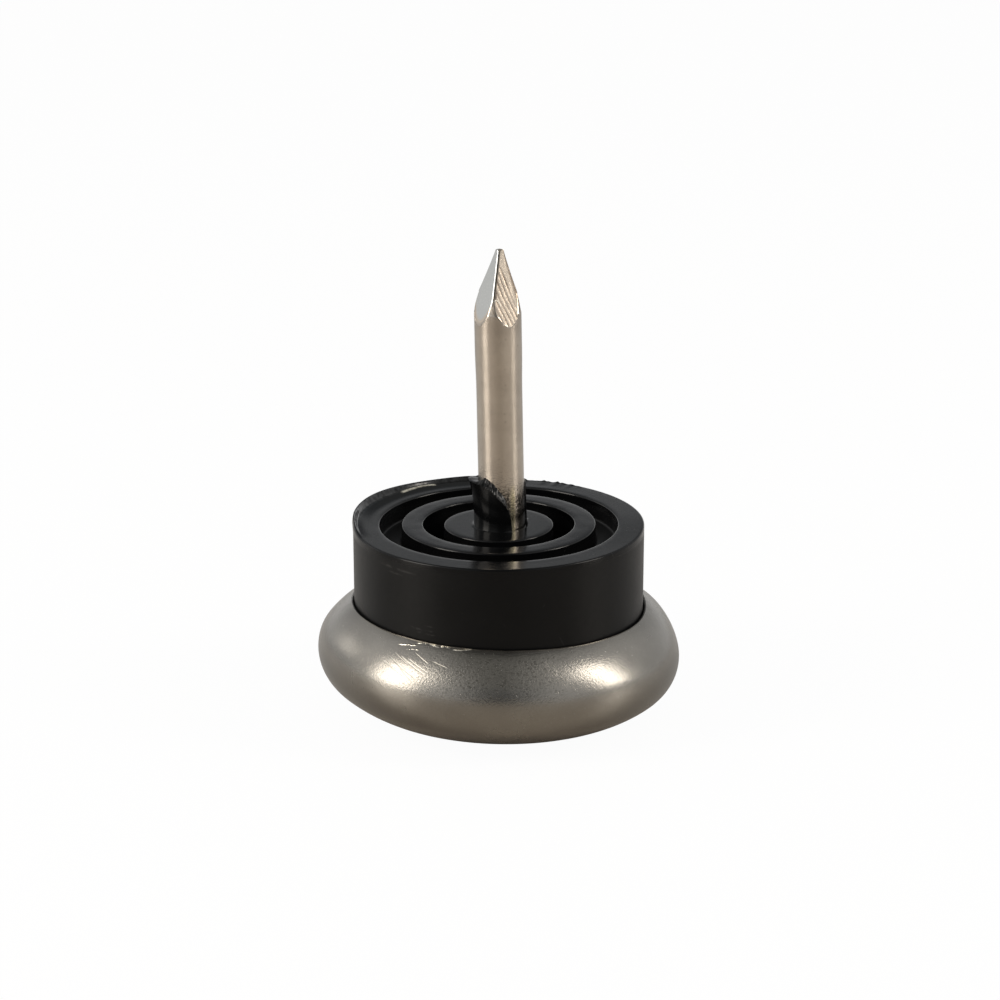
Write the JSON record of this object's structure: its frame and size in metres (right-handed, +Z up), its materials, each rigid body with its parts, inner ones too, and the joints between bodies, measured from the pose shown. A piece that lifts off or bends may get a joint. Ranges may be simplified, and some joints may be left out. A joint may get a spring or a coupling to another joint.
{
  "type": "nail on furniture glide",
  "caption": "Round nail-on glide for furniture legs: a domed steel cap, a black ringed plastic insert and a central nail that is driven into the leg.",
  "frame": {"origin": "middle of the cap's flat underside, on the floor", "axes": "+Z up along the nail to its point; the glide is round about Z, and its sleeve is torn towards +X, -Y"},
  "size_m": [0.024, 0.024, 0.0314],
  "materials": {
    "cap_steel": "satin stainless steel",
    "insert_plastic": "black, half-glossy moulding",
    "nail_steel": "bright drawn and plated"
  },
  "bodies": {
    "root": {"glide_cap": "cap_steel", "cushion_insert": "insert_plastic", "nail": "nail_steel"}
  },
  "joints": []
}
